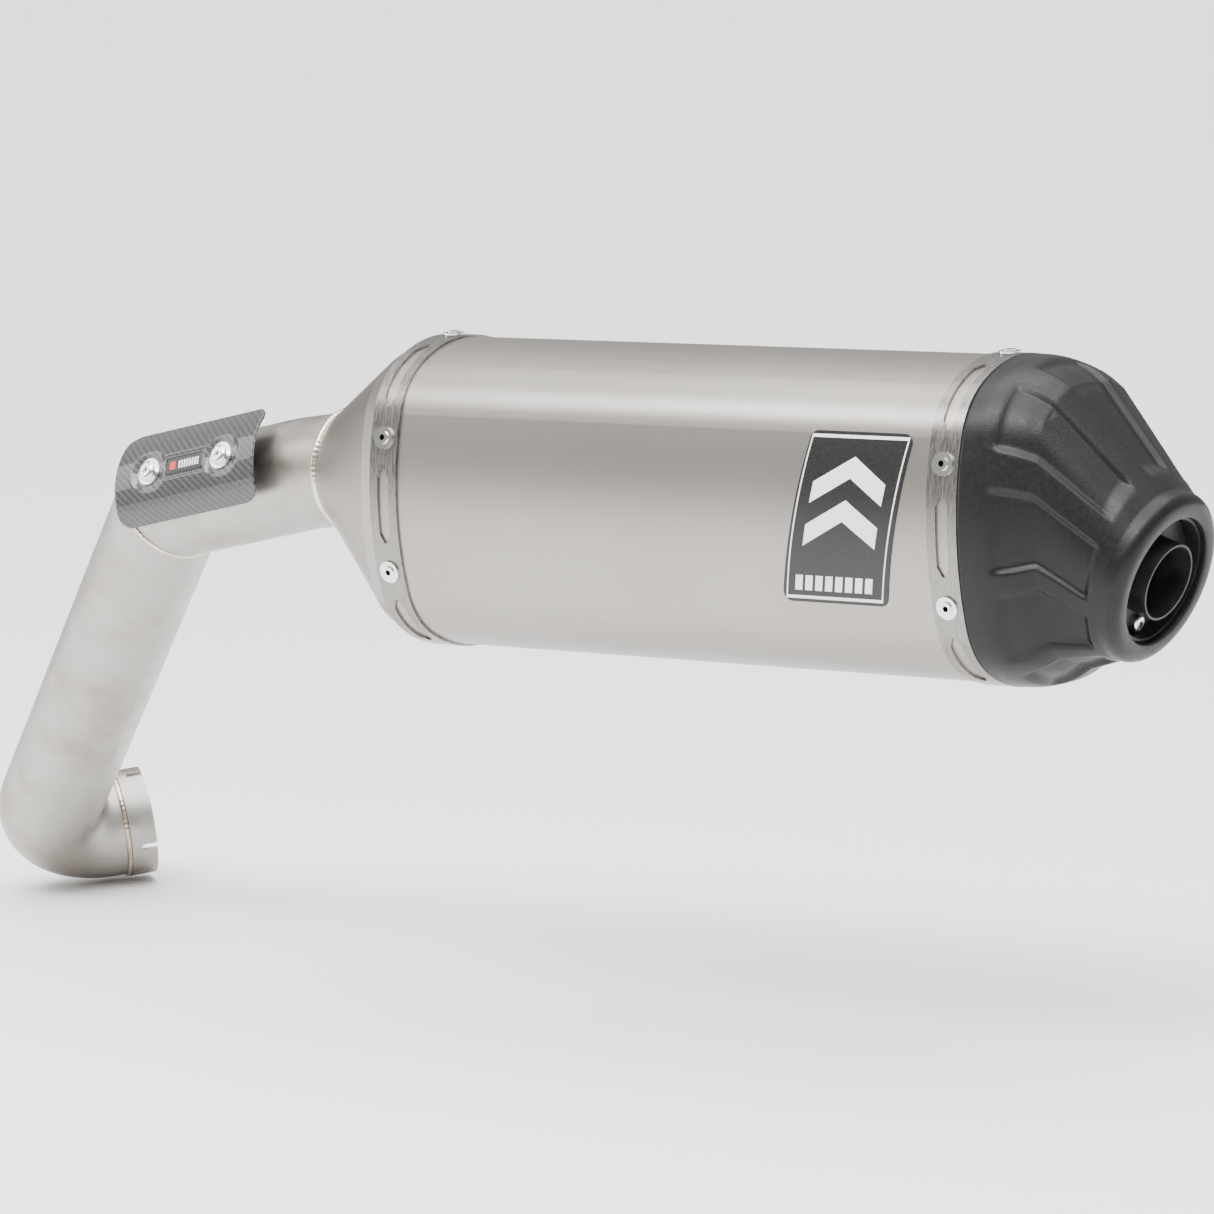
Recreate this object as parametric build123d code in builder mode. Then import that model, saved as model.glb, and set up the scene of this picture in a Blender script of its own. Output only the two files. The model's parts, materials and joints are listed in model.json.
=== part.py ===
"""Motorcycle exhaust muffler with its link pipe, carbon heat shield and removable noise insert.

Row frame: origin at the centre of the inlet collar's mouth, +X towards the outlet along the
canister's own axis, +Z up. Millimetres.
"""
from math import atan2, cos, hypot, radians, sin, sqrt
import os

from build123d import *

os.makedirs("parts", exist_ok=True)

# ---- driving dimensions -------------------------------------------------------------------
DATUM = Vector(645, -152, 202)  # canister axis at the joint between sleeve and end cap

HALF_WIDTH = 54.5  # canister section, sleeve outside, across Y
HALF_HEIGHT = 69.6  # and up Z
SIDE_RADIUS = 145.0  # the three arcs that the oval section is made of
TOP_RADIUS = 64.0
CORNER_RADIUS = 35.5

SLEEVE_LENGTH = 313.0
SHEET = 1.0  # sleeve and strap thickness
STRAP_WIDTH = 15.0
FRONT_STRAP_X = -314.5  # front edge of the front strap
REAR_STRAP_X = -STRAP_WIDTH

CONE_END_X = -370.0  # where the front cone meets the link pipe
INLET_RISE = 7.3  # the link pipe enters above the canister's axis
CONE_WALL = 1.5
SKIRT = 14.0  # length of the cone's and the cap's skirts inside the sleeve

PIPE_RADIUS = 26.0
PIPE_WALL = 1.5
COLLAR_BORE = 25.5
COLLAR_RADIUS = 27.4
COLLAR_LENGTH = 13.0
COLLAR_SLOTS = 4
COLLAR_SLOT_WIDTH = 3.0
COLLAR_SLOT_DEPTH = 8.0

OUTLET_TILT = 18.7  # the outlet axis dips by this angle below the canister's
OUTLET_DISTANCE = 71.2  # from the datum to the rim, along the outlet axis
OUTLET_RADIUS = 28.2
LIP_RADIUS = 38.0
LIP_DEPTH = 8.0

CORE_RADIUS = 24.0
CORE_WALL = 1.2
INSERT_RADIUS = 16.9
INSERT_WALL = 1.0
INSERT_LENGTH = 80.0
INSERT_FLANGE_DEPTH = 10.0  # behind the rim
INSERT_BOLT_OFFSET = 22.0  # below the outlet axis

RIVET_ANGLES = (0.0, 60.5, -60.5, 121.0, -121.0)  # from the top of the section
RIVET_SHANK = 2.35
RIVET_HOLE = 2.4
RIVET_FLANGE = 5.05
SLOT_SPANS = ((14.5, 50.0), (72.5, 109.5), (131.5, 160.0))  # mirrored left to right
BOTTOM_SLOT = (166.0, 194.0)
SLOT_WIDTH = 6.0

SHIELD_RADIUS = 33.0  # inside of the shield, about the upper pipe's axis
SHIELD_WALL = 1.6
SHIELD_SPAN = 84.0  # degrees round the pipe
SHIELD_TURN = 27.0  # its middle faces this far above level
SHIELD_LENGTH = 87.0
SHIELD_BOLT_PITCH = 45.5


# ---- frames ---------------------------------------------------------------------------------
def across(x):
    """Plane across the canister at station x: its x is the row's +Y, its y the row's +Z."""
    return Plane(origin=DATUM + Vector(x, 0, 0), x_dir=(0, 1, 0), z_dir=(1, 0, 0))


OUTLET_DIR = Vector(cos(radians(OUTLET_TILT)), 0, -sin(radians(OUTLET_TILT)))


def across_outlet(distance):
    """Plane across the outlet axis, this far out from the rim (negative is inside)."""
    centre = DATUM + OUTLET_DIR * (OUTLET_DISTANCE + distance)
    return Plane(origin=centre, x_dir=(0, 1, 0), z_dir=OUTLET_DIR)


# ---- the canister's oval section ----------------------------------------------------------
def corner_centre():
    """Centre of the corner arc that is tangent to the side arc and to the top arc."""
    side = (HALF_WIDTH - SIDE_RADIUS, 0.0)
    top = (0.0, HALF_HEIGHT - TOP_RADIUS)
    side_reach = SIDE_RADIUS - CORNER_RADIUS
    top_reach = TOP_RADIUS - CORNER_RADIUS
    gap = hypot(top[0] - side[0], top[1] - side[1])
    along = (side_reach**2 - top_reach**2 + gap**2) / (2 * gap)
    aside = sqrt(side_reach**2 - along**2)
    ux = (top[0] - side[0]) / gap
    uz = (top[1] - side[1]) / gap
    return (side[0] + ux * along - uz * aside, side[1] + uz * along + ux * aside)


CORNER = corner_centre()
SIDE_CENTRE = (HALF_WIDTH - SIDE_RADIUS, 0.0)
TOP_CENTRE = (0.0, HALF_HEIGHT - TOP_RADIUS)
SIDE_END = atan2(CORNER[0] - SIDE_CENTRE[0], CORNER[1] - SIDE_CENTRE[1])  # from +Z
TOP_END = atan2(CORNER[0] - TOP_CENTRE[0], CORNER[1] - TOP_CENTRE[1])


def polar(centre, radius, angle):
    """Point at an angle from +Z about a centre, in the section's plane."""
    return (centre[0] + radius * sin(angle), centre[1] + radius * cos(angle))


def oval(grow):
    """The canister's section, grown outward by this much, as a sketch."""
    side_radius = SIDE_RADIUS + grow
    top_radius = TOP_RADIUS + grow
    corner_radius = CORNER_RADIUS + grow
    side_point = polar(SIDE_CENTRE, side_radius, SIDE_END)
    top_point = polar(TOP_CENTRE, top_radius, TOP_END)
    middle = polar(CORNER, corner_radius, (SIDE_END + TOP_END) / 2)
    with BuildSketch() as section:
        with BuildLine():
            for s in (1, -1):
                ThreePointArc(
                    (s * side_point[0], -side_point[1]),
                    (s * (HALF_WIDTH + grow), 0),
                    (s * side_point[0], side_point[1]),
                )
                ThreePointArc(
                    (-top_point[0], s * top_point[1]),
                    (0, s * (HALF_HEIGHT + grow)),
                    (top_point[0], s * top_point[1]),
                )
                for t in (1, -1):
                    ThreePointArc(
                        (s * side_point[0], t * side_point[1]),
                        (s * middle[0], t * middle[1]),
                        (s * top_point[0], t * top_point[1]),
                    )
        make_face()
    return section.sketch


def oval_point(angle, grow):
    """(y, z) where a ray at this angle from the top, in degrees, crosses the grown section."""
    a = radians(angle)
    direction = (sin(a), cos(a))
    quadrant = (1 if direction[0] >= 0 else -1, 1 if direction[1] >= 0 else -1)
    d = (abs(direction[0]), abs(direction[1]))
    side_point = polar(SIDE_CENTRE, SIDE_RADIUS + grow, SIDE_END)
    top_point = polar(TOP_CENTRE, TOP_RADIUS + grow, TOP_END)
    if atan2(d[0], d[1]) > atan2(side_point[0], side_point[1]):
        centre, radius = SIDE_CENTRE, SIDE_RADIUS + grow
    elif atan2(d[0], d[1]) < atan2(top_point[0], top_point[1]):
        centre, radius = TOP_CENTRE, TOP_RADIUS + grow
    else:
        centre, radius = CORNER, CORNER_RADIUS + grow
    b = d[0] * centre[0] + d[1] * centre[1]
    reach = b + sqrt(b * b - (centre[0] ** 2 + centre[1] ** 2 - radius**2))
    point = (quadrant[0] * reach * d[0], quadrant[1] * reach * d[1])
    normal = (point[0] - quadrant[0] * centre[0], point[1] - quadrant[1] * centre[1])
    return point, (normal[0] / radius, normal[1] / radius)


def skin_plane(x, angle, grow):
    """Plane that touches the grown section at station x, its z pointing out."""
    point, normal = oval_point(angle, grow)
    origin = DATUM + Vector(x, point[0], point[1])
    return Plane(origin=origin, x_dir=(1, 0, 0), z_dir=(0, normal[0], normal[1]))


def chord_plane(x, start, end):
    """Plane through the chord of a strap slot, its x along the chord, its z pointing out."""
    first, _ = oval_point(start, SHEET)
    last, _ = oval_point(end, SHEET)
    middle = DATUM + Vector(x, (first[0] + last[0]) / 2, (first[1] + last[1]) / 2)
    along = Vector(0, last[0] - first[0], last[1] - first[1])
    out = Vector(1, 0, 0).cross(along)
    if out.dot(middle - (DATUM + Vector(x, 0, 0))) < 0:
        out = -out
    return Plane(origin=middle, x_dir=along, z_dir=out), along.length


def pointed_slot(length, width):
    """A slot whose ends come to a blunt point."""
    half = length / 2
    shoulder = half - width * 0.9
    with BuildSketch() as slot:
        with BuildLine():
            Polyline(
                (-half, 0),
                (-shoulder, width / 2),
                (shoulder, width / 2),
                (half, 0),
                (shoulder, -width / 2),
                (-shoulder, -width / 2),
                close=True,
            )
        make_face()
        fillet(slot.vertices(), 1.0)
    return slot.sketch


def rivet_planes(x, grow):
    """One plane for each rivet of the strap whose middle is at station x."""
    return [skin_plane(x, angle, grow) for angle in RIVET_ANGLES]


FRONT_RIVET_X = FRONT_STRAP_X + STRAP_WIDTH / 2
REAR_RIVET_X = REAR_STRAP_X + STRAP_WIDTH / 2

# ---- link pipe route --------------------------------------------------------------------
COLLAR_DIR = Vector(0.617, 0.779, 0.106).normalized()
MOUTH = Vector(0, 0, 0)
BEND = MOUTH - COLLAR_DIR * 58.0
ELBOW = DATUM + Vector(-482.5, 0, -14.4)
KNEE = DATUM + Vector(-397.0, 0, 3.7)
RING = DATUM + Vector(CONE_END_X, 0, INLET_RISE)
BEND_RADIUS = 32.0
KNEE_RADIUS = 110.0
ENTRY_DIR = (KNEE - RING).normalized()
PIPE_START = RING - ENTRY_DIR * 6  # drawn past the cone's end and cut back to it
UPPER_DIR = (ELBOW - KNEE).normalized()
LOWER_DIR = (BEND - ELBOW).normalized()
MITRE = Plane(origin=ELBOW, z_dir=UPPER_DIR + LOWER_DIR)
OVERRUN = 45.0  # each pipe is drawn past the mitre and cut back to it

with BuildPart() as upper_pipe:
    with BuildLine():
        FilletPolyline(PIPE_START, KNEE, ELBOW + UPPER_DIR * OVERRUN, radius=KNEE_RADIUS)
    with BuildSketch(Plane(origin=PIPE_START, z_dir=ENTRY_DIR)):
        Circle(PIPE_RADIUS)
        Circle(PIPE_RADIUS - PIPE_WALL, mode=Mode.SUBTRACT)
    sweep()
    split(bisect_by=MITRE, keep=Keep.BOTTOM)
    split(bisect_by=across(CONE_END_X), keep=Keep.BOTTOM)
upper_pipe.part.label = "upper_pipe"

PIPE_END = MOUTH - COLLAR_DIR * COLLAR_LENGTH
with BuildPart() as lower_pipe:
    with BuildLine():
        FilletPolyline(ELBOW - LOWER_DIR * OVERRUN, BEND, PIPE_END, radius=BEND_RADIUS)
    with BuildSketch(Plane(origin=ELBOW - LOWER_DIR * OVERRUN, z_dir=LOWER_DIR)):
        Circle(PIPE_RADIUS)
        Circle(PIPE_RADIUS - PIPE_WALL, mode=Mode.SUBTRACT)
    sweep()
    split(bisect_by=MITRE, keep=Keep.TOP)
lower_pipe.part.label = "lower_pipe"

BEAD = 1.1  # height of a weld bead
BEAD_WIDTH = 3.0
with BuildPart() as elbow_weld:
    for start, direction, keep in (
        (ELBOW, UPPER_DIR, Keep.BOTTOM),
        (ELBOW, LOWER_DIR, Keep.TOP),
    ):
        with BuildPart(mode=Mode.PRIVATE) as half:
            with BuildSketch(Plane(origin=start, z_dir=direction)):
                Circle(PIPE_RADIUS + BEAD)
                Circle(PIPE_RADIUS, mode=Mode.SUBTRACT)
            extrude(amount=OVERRUN, both=True)
            split(bisect_by=MITRE, keep=keep)
        add(half.part)
    with BuildSketch(MITRE):
        Circle(2 * PIPE_RADIUS)
    extrude(amount=BEAD_WIDTH / 2, both=True, mode=Mode.INTERSECT)
elbow_weld.part.label = "elbow_weld"

COLLAR_PLANE = Plane(origin=PIPE_END, z_dir=COLLAR_DIR)
with BuildPart() as inlet_collar:
    with BuildSketch(COLLAR_PLANE):
        Circle(COLLAR_RADIUS)
        Circle(COLLAR_BORE, mode=Mode.SUBTRACT)
    extrude(amount=COLLAR_LENGTH)
    with BuildSketch(Plane(origin=MOUTH, z_dir=COLLAR_DIR)):
        with PolarLocations(COLLAR_RADIUS, COLLAR_SLOTS, start_angle=20):
            Rectangle(8, COLLAR_SLOT_WIDTH)
    extrude(amount=-COLLAR_SLOT_DEPTH, mode=Mode.SUBTRACT)
inlet_collar.part.label = "inlet_collar"

with BuildPart() as collar_weld:
    with BuildSketch(COLLAR_PLANE):
        Circle(PIPE_RADIUS + BEAD)
        Circle(PIPE_RADIUS, mode=Mode.SUBTRACT)
    extrude(amount=-BEAD_WIDTH)
    fillet(collar_weld.edges().filter_by(GeomType.CIRCLE).group_by(SortBy.RADIUS)[-1], 0.8)
collar_weld.part.label = "collar_weld"

# ---- front cone and its weld --------------------------------------------------------------
CONE_STATIONS = ((FRONT_STRAP_X, -0.5), (FRONT_STRAP_X - 9.0, -4.0))
with BuildPart() as front_cone:
    for x, grow in CONE_STATIONS:
        with BuildSketch(across(x)):
            add(oval(grow))
    with BuildSketch(across(CONE_END_X).shift_origin(RING)):
        Circle(PIPE_RADIUS + 1.0)
    loft(ruled=True)
    for x, grow in CONE_STATIONS:
        with BuildSketch(across(x)):
            add(oval(grow - CONE_WALL - 0.6))
    with BuildSketch(across(CONE_END_X).shift_origin(RING)):
        Circle(PIPE_RADIUS - 0.6)
    loft(ruled=True, mode=Mode.SUBTRACT)
    with BuildSketch(across(FRONT_STRAP_X)):
        add(oval(-SHEET))
        add(oval(-SHEET - CONE_WALL), mode=Mode.SUBTRACT)
    extrude(amount=SKIRT)
    for plane in rivet_planes(FRONT_RIVET_X, 0):
        with BuildSketch(plane):
            Circle(RIVET_HOLE)
        extrude(amount=5, both=True, mode=Mode.SUBTRACT)
front_cone.part.label = "front_cone"

with BuildPart() as ring_weld:
    with BuildSketch(across(CONE_END_X).shift_origin(RING)):
        Circle(PIPE_RADIUS + 2.2)
    extrude(amount=-BEAD_WIDTH)
    fillet(ring_weld.edges(), 1.3)
    with BuildSketch(Plane(origin=PIPE_START, z_dir=ENTRY_DIR)):
        Circle(PIPE_RADIUS)
    extrude(amount=30, mode=Mode.SUBTRACT)
ring_weld.part.label = "ring_weld"

# ---- sleeve and straps ----------------------------------------------------------------------
with BuildPart() as sleeve:
    with BuildSketch(across(-SLEEVE_LENGTH)):
        add(oval(0))
        add(oval(-SHEET), mode=Mode.SUBTRACT)
    extrude(amount=SLEEVE_LENGTH - 0.5)
    for plane in rivet_planes(FRONT_RIVET_X, 0) + rivet_planes(REAR_RIVET_X, 0):
        with BuildSketch(plane):
            Circle(RIVET_HOLE)
        extrude(amount=5, both=True, mode=Mode.SUBTRACT)
sleeve.part.label = "sleeve"


def strap(start, rivet_x):
    """A slotted band round the sleeve, from station start, with its rivet holes."""
    with BuildPart() as band:
        with BuildSketch(across(start)):
            add(oval(SHEET))
            add(oval(0), mode=Mode.SUBTRACT)
        extrude(amount=STRAP_WIDTH)
        spans = [(s * a, s * b) for a, b in SLOT_SPANS for s in (1, -1)] + [BOTTOM_SLOT]
        for first, last in spans:
            plane, length = chord_plane(rivet_x, first, last)
            with BuildSketch(plane):
                add(pointed_slot(length, SLOT_WIDTH))
            extrude(amount=16, both=True, mode=Mode.SUBTRACT)
        for plane in rivet_planes(rivet_x, 0):
            with BuildSketch(plane):
                Circle(RIVET_HOLE)
            extrude(amount=5, both=True, mode=Mode.SUBTRACT)
    return band.part


def rivets(x):
    """The blind rivets of one strap: flange, raised collar and drilled mandrel hole."""
    with BuildPart() as group:
        for hole in rivet_planes(x, 0):
            plane = hole.offset(SHEET)
            with BuildSketch(plane):
                Circle(RIVET_FLANGE)
                Circle(1.3, mode=Mode.SUBTRACT)
            extrude(amount=1.0)
            with BuildSketch(plane.offset(1.0)):
                Circle(2.9)
                Circle(1.3, mode=Mode.SUBTRACT)
            extrude(amount=0.7)
            with BuildSketch(plane):
                Circle(RIVET_SHANK)
                Circle(1.3, mode=Mode.SUBTRACT)
            extrude(amount=-4.5)
    return group.part


front_strap = strap(FRONT_STRAP_X, FRONT_RIVET_X)
front_strap.label = "front_strap"
rear_strap = strap(REAR_STRAP_X, REAR_RIVET_X)
rear_strap.label = "rear_strap"
front_rivets = rivets(FRONT_RIVET_X)
front_rivets.label = "front_rivets"
rear_rivets = rivets(REAR_RIVET_X)
rear_rivets.label = "rear_rivets"

BADGE_THICKNESS = 0.3
BADGE_PLANE = Plane(origin=DATUM + Vector(-57.6, 0, 4.2), x_dir=(1, 0, 0), z_dir=(0, -1, 0))
with BuildPart() as sleeve_badge:
    with BuildSketch(BADGE_PLANE) as badge_outline:
        with BuildLine():
            Polyline((-34.6, -36.6), (19.4, -36.6), (34, 36.6), (-18, 36.6), close=True)
        make_face()
        fillet(badge_outline.vertices(), 4.0)
    extrude(amount=HALF_WIDTH + 5)
    with BuildSketch(across(-100)):
        add(oval(BADGE_THICKNESS))
        add(oval(0.02), mode=Mode.SUBTRACT)
    extrude(amount=95, mode=Mode.INTERSECT)
sleeve_badge.part.label = "sleeve_badge"

# ---- inside the canister --------------------------------------------------------------------
BULKHEAD = 1.5
INSIDE = -SHEET - CONE_WALL
FRONT_BULKHEAD_X = -298.0
REAR_BULKHEAD_X = -18.0
CORE_START = -303.0
CORE_END = -16.5


def bulkhead(x):
    """An oval plate inside the sleeve with a hole for the core."""
    with BuildPart() as plate:
        with BuildSketch(across(x)):
            add(oval(-SHEET))
            Circle(CORE_RADIUS, mode=Mode.SUBTRACT)
        extrude(amount=BULKHEAD)
    return plate.part


front_bulkhead = bulkhead(FRONT_BULKHEAD_X)
front_bulkhead.label = "front_bulkhead"
rear_bulkhead = bulkhead(REAR_BULKHEAD_X)
rear_bulkhead.label = "rear_bulkhead"

PERFORATION_ROWS = 14
PERFORATION_PITCH = 18.0
PERFORATIONS_ROUND = 6
with BuildPart() as perforated_core:
    with BuildSketch(across(CORE_START)):
        Circle(CORE_RADIUS)
        Circle(CORE_RADIUS - CORE_WALL, mode=Mode.SUBTRACT)
    extrude(amount=CORE_END - CORE_START)
    for row in range(PERFORATION_ROWS):
        for turn in range(PERFORATIONS_ROUND // 2):
            angle = radians(turn * 360 / PERFORATIONS_ROUND + row * 30)
            station = DATUM + Vector(CORE_START + 30 + row * PERFORATION_PITCH, 0, 0)
            with BuildSketch(Plane(origin=station, x_dir=(1, 0, 0), z_dir=(0, cos(angle), sin(angle)))):
                Circle(2.5)
            extrude(amount=CORE_RADIUS + 5, both=True, mode=Mode.SUBTRACT)
perforated_core.part.label = "perforated_core"

WRAP_RADIUS = CORE_RADIUS + 3.0
PACKING_START = FRONT_BULKHEAD_X + BULKHEAD
PACKING_LENGTH = REAR_BULKHEAD_X - PACKING_START
with BuildPart() as core_wrap:
    with BuildSketch(across(PACKING_START)):
        Circle(WRAP_RADIUS)
        Circle(CORE_RADIUS, mode=Mode.SUBTRACT)
    extrude(amount=PACKING_LENGTH)
core_wrap.part.label = "core_wrap"

with BuildPart() as packing:
    with BuildSketch(across(PACKING_START)):
        add(oval(-SHEET))
        Circle(WRAP_RADIUS, mode=Mode.SUBTRACT)
    extrude(amount=PACKING_LENGTH)
packing.part.label = "packing"

# ---- end cap --------------------------------------------------------------------------------
CAP_WALL = 2.0
CAP_STATIONS = ((0.0, 0.9), (11.0, 0.2), (23.0, -3.2), (32.0, -8.5))
with BuildPart() as end_cap:
    for x, grow in CAP_STATIONS:
        with BuildSketch(across(x)):
            add(oval(grow))
    with BuildSketch(across_outlet(-LIP_DEPTH)):
        Circle(LIP_RADIUS)
    loft(ruled=True)
    for x, grow in CAP_STATIONS:
        with BuildSketch(across(x)):
            add(oval(grow - CAP_WALL))
    with BuildSketch(across_outlet(-LIP_DEPTH)):
        Circle(LIP_RADIUS - CAP_WALL - 0.5)
    loft(ruled=True, mode=Mode.SUBTRACT)
    with BuildSketch(across_outlet(-LIP_DEPTH)):
        Circle(LIP_RADIUS)
        Circle(OUTLET_RADIUS, mode=Mode.SUBTRACT)
    extrude(amount=LIP_DEPTH)
    fillet(end_cap.faces().filter_by(lambda f: abs(f.normal_at().dot(OUTLET_DIR)) > 0.999)
           .sort_by(Axis(DATUM, OUTLET_DIR))[-1].edges().sort_by(SortBy.RADIUS)[-1], 6.0)
    with BuildSketch(across(0)):
        add(oval(-SHEET))
        add(oval(-SHEET - CAP_WALL), mode=Mode.SUBTRACT)
    extrude(amount=-SKIRT)
    for plane in rivet_planes(REAR_RIVET_X, 0):
        with BuildSketch(plane):
            Circle(RIVET_HOLE)
        extrude(amount=6, both=True, mode=Mode.SUBTRACT)
end_cap.part.label = "end_cap"

# ---- outlet tube, noise insert and its bolt -------------------------------------------------
TUBE_RADIUS = 27.9
TUBE_WALL = 1.2
with BuildPart() as outlet_tube:
    with BuildSketch(across_outlet(-3)):
        Circle(TUBE_RADIUS)
        Circle(TUBE_RADIUS - TUBE_WALL, mode=Mode.SUBTRACT)
    extrude(amount=-82)
    with BuildSketch(across(REAR_BULKHEAD_X + BULKHEAD)):
        Rectangle(200, 200)
    extrude(amount=-60, mode=Mode.SUBTRACT)
outlet_tube.part.label = "outlet_tube"

FLANGE_THICKNESS = 1.6
INSERT_FLANGE_RADIUS = TUBE_RADIUS - TUBE_WALL - 0.4
with BuildPart() as noise_insert:
    with BuildSketch(across_outlet(0.7)):
        Circle(INSERT_RADIUS)
        Circle(INSERT_RADIUS - INSERT_WALL, mode=Mode.SUBTRACT)
    extrude(amount=-INSERT_LENGTH)
    with BuildSketch(across_outlet(-INSERT_FLANGE_DEPTH)):
        Circle(INSERT_FLANGE_RADIUS)
        Circle(INSERT_RADIUS - INSERT_WALL, mode=Mode.SUBTRACT)
    extrude(amount=-FLANGE_THICKNESS)
    with BuildSketch(across_outlet(-INSERT_FLANGE_DEPTH)):
        with Locations((0, -INSERT_BOLT_OFFSET)):
            Circle(2.6)
    extrude(amount=-FLANGE_THICKNESS, mode=Mode.SUBTRACT)
noise_insert.part.label = "noise_insert"

LUG_THICKNESS = 5.0
with BuildPart() as bolt_lug:
    with BuildSketch(across_outlet(-INSERT_FLANGE_DEPTH - FLANGE_THICKNESS)):
        Circle(TUBE_RADIUS - TUBE_WALL)
        Circle(INSERT_RADIUS + 1.2, mode=Mode.SUBTRACT)
        with Locations((0, -INSERT_BOLT_OFFSET)):
            Rectangle(12, 14, mode=Mode.INTERSECT)
            Circle(2.55, mode=Mode.SUBTRACT)
    extrude(amount=-LUG_THICKNESS)
bolt_lug.part.label = "bolt_lug"

with BuildPart() as insert_bolt:
    with BuildSketch(across_outlet(-INSERT_FLANGE_DEPTH)):
        with Locations((0, -INSERT_BOLT_OFFSET)):
            Circle(4.0)
    extrude(amount=3.2)
    fillet(insert_bolt.edges().filter_by(GeomType.CIRCLE).sort_by(Axis(DATUM, OUTLET_DIR))[-1], 1.4)
    with BuildSketch(across_outlet(-INSERT_FLANGE_DEPTH + 3.2)):
        with Locations((0, -INSERT_BOLT_OFFSET)):
            RegularPolygon(1.7, 6)
    extrude(amount=-2.0, mode=Mode.SUBTRACT)
    with BuildSketch(across_outlet(-INSERT_FLANGE_DEPTH)):
        with Locations((0, -INSERT_BOLT_OFFSET)):
            Circle(2.5)
    extrude(amount=-9.0)
insert_bolt.part.label = "insert_bolt"

# ---- heat shield ----------------------------------------------------------------------------
SHIELD_MIDDLE = KNEE + UPPER_DIR * 45.5
FACING = radians(SHIELD_TURN)
SIDEWAYS = Vector(0, -1, 0)
UPWARD = UPPER_DIR.cross(SIDEWAYS).normalized()
if UPWARD.Z < 0:
    UPWARD = -UPWARD
SHIELD_OUT = SIDEWAYS * cos(FACING) + UPWARD * sin(FACING)
SHIELD_PLANE = Plane(origin=SHIELD_MIDDLE, x_dir=SHIELD_OUT, z_dir=-UPPER_DIR)
SHIELD_FACE = Plane(origin=SHIELD_MIDDLE, x_dir=-UPPER_DIR, z_dir=SHIELD_OUT)
SHIELD_BOLT_SPOTS = ((-SHIELD_BOLT_PITCH / 2, 0), (SHIELD_BOLT_PITCH / 2, 0))
SHIELD_WIDTH = 46.0
with BuildPart() as heat_shield:
    with BuildSketch(SHIELD_PLANE):
        Circle(SHIELD_RADIUS + SHIELD_WALL)
        Circle(SHIELD_RADIUS, mode=Mode.SUBTRACT)
    extrude(amount=SHIELD_LENGTH / 2, both=True)
    with BuildSketch(SHIELD_FACE):
        RectangleRounded(SHIELD_LENGTH, SHIELD_WIDTH, 8.0)
    extrude(amount=SHIELD_RADIUS * 2, mode=Mode.INTERSECT)
    with BuildSketch(SHIELD_FACE):
        with Locations(*SHIELD_BOLT_SPOTS):
            Circle(3.1)
    extrude(amount=SHIELD_RADIUS * 2, mode=Mode.SUBTRACT)
heat_shield.part.label = "heat_shield"

with BuildPart() as shield_standoffs:
    with BuildSketch(SHIELD_FACE):
        with Locations(*SHIELD_BOLT_SPOTS):
            Circle(5.0)
            Circle(2.55, mode=Mode.SUBTRACT)
    extrude(amount=SHIELD_RADIUS - 0.5)
    with BuildSketch(SHIELD_PLANE):
        Circle(PIPE_RADIUS)
    extrude(amount=SHIELD_LENGTH, both=True, mode=Mode.SUBTRACT)
shield_standoffs.part.label = "shield_standoffs"

SEAT = SHIELD_RADIUS + SHIELD_WALL
with BuildPart() as shield_washers:
    with BuildSketch(SHIELD_FACE.offset(SEAT)):
        with Locations(*SHIELD_BOLT_SPOTS):
            Circle(6.5)
            Circle(2.7, mode=Mode.SUBTRACT)
    extrude(amount=1.0)
shield_washers.part.label = "shield_washers"

with BuildPart() as shield_bolts:
    with BuildSketch(SHIELD_FACE.offset(SEAT + 1.0)):
        with Locations(*SHIELD_BOLT_SPOTS):
            Circle(4.75)
    extrude(amount=2.6)
    fillet(shield_bolts.faces().group_by(Axis(SHIELD_MIDDLE, SHIELD_OUT))[-1].edges(), 1.8)
    with BuildSketch(SHIELD_FACE.offset(SEAT + 3.6)):
        with Locations(*SHIELD_BOLT_SPOTS):
            RegularPolygon(1.7, 6)
    extrude(amount=-1.8, mode=Mode.SUBTRACT)
    with BuildSketch(SHIELD_FACE.offset(SEAT + 1.0)):
        with Locations(*SHIELD_BOLT_SPOTS):
            Circle(2.5)
    extrude(amount=-8.0)
shield_bolts.part.label = "shield_bolts"

# ---- hanger on the hidden side ------------------------------------------------------------
HANGER_X = FRONT_RIVET_X + 8.0
HANGER_PLANE = Plane(
    origin=DATUM + Vector(HANGER_X, HALF_WIDTH, 0), x_dir=(1, 0, 0), z_dir=(0, 1, 0)
)
HANGER_FACE = 14.0  # how far the eye's outer face stands from the sleeve
EYE_RADIUS = 15.0
EYE_BORE = 12.0
SLEEVE_TUBE_RADIUS = 6.0
BOLT_BORE = 4.2
with BuildPart() as hanger_bracket:
    with BuildSketch(HANGER_PLANE.offset(-20)):
        RectangleRounded(52, 44, 8)
    extrude(amount=23)
    with BuildSketch(HANGER_PLANE.offset(2.5)):
        Circle(EYE_RADIUS)
    extrude(amount=HANGER_FACE - 2.5)
    with BuildSketch(HANGER_PLANE.offset(3.0)):
        Circle(EYE_BORE)
    extrude(amount=HANGER_FACE, mode=Mode.SUBTRACT)
    with BuildSketch(across(FRONT_STRAP_X - 40)):
        add(oval(SHEET))
    extrude(amount=140, mode=Mode.SUBTRACT)
hanger_bracket.part.label = "hanger_bracket"

with BuildPart() as hanger_bush:
    with BuildSketch(HANGER_PLANE.offset(3.0)):
        Circle(EYE_BORE)
        Circle(SLEEVE_TUBE_RADIUS, mode=Mode.SUBTRACT)
    extrude(amount=HANGER_FACE - 3.0 + 1.0)
hanger_bush.part.label = "hanger_bush"

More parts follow.
